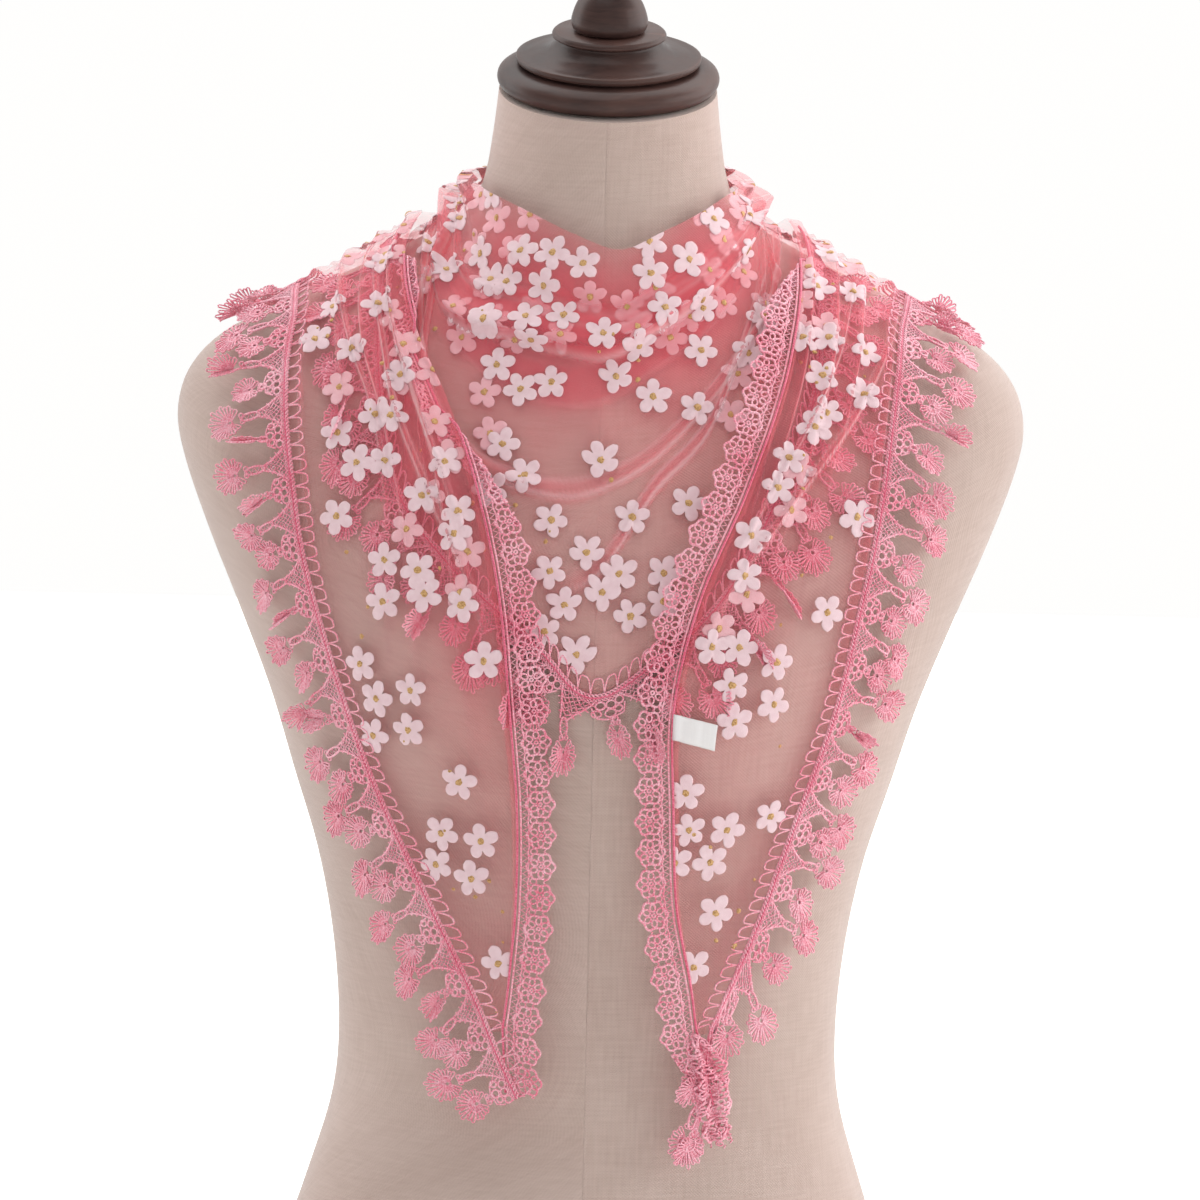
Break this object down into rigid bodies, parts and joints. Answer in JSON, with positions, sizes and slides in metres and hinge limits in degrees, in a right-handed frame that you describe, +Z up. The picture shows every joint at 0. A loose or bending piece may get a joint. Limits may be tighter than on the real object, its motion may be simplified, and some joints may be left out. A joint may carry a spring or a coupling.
{
  "type": "lace shawl on dress form",
  "caption": "Sheer triangular net shawl edged with lace and leaf pendants, wrapped round the neck of a limbless linen dress form with a turned wooden neck cap.",
  "frame": {"origin": "middle of the dress form's flat underside, under the neck", "axes": "+Z up along the form, -Y to the front of the chest, +X to the viewer's right when the form is seen from the front"},
  "size_m": [0.3914, 0.2341, 0.8062],
  "materials": {
    "linen": "plain-woven linen cover, matt",
    "wood": "dark stained and varnished turned wood",
    "net": "sheer fine tulle with a soft sheen",
    "lace": "corded guipure lace with a soft sheen",
    "label": "white satin tape, blank"
  },
  "bodies": {
    "root": {"form_torso": "linen", "form_neck_cap": "wood", "form_finial": "wood", "front_drape": "net", "wrap_left": "net", "wrap_right": "net", "end_left": "net", "end_right": "net", "leaf_lace_front": "lace", "leaf_lace_end_left": "lace", "leaf_lace_end_right": "lace", "leaf_lace_back_left": "lace", "leaf_lace_back_right": "lace", "scallop_lace_left": "lace", "scallop_lace_right": "lace", "label": "label"}
  },
  "joints": []
}
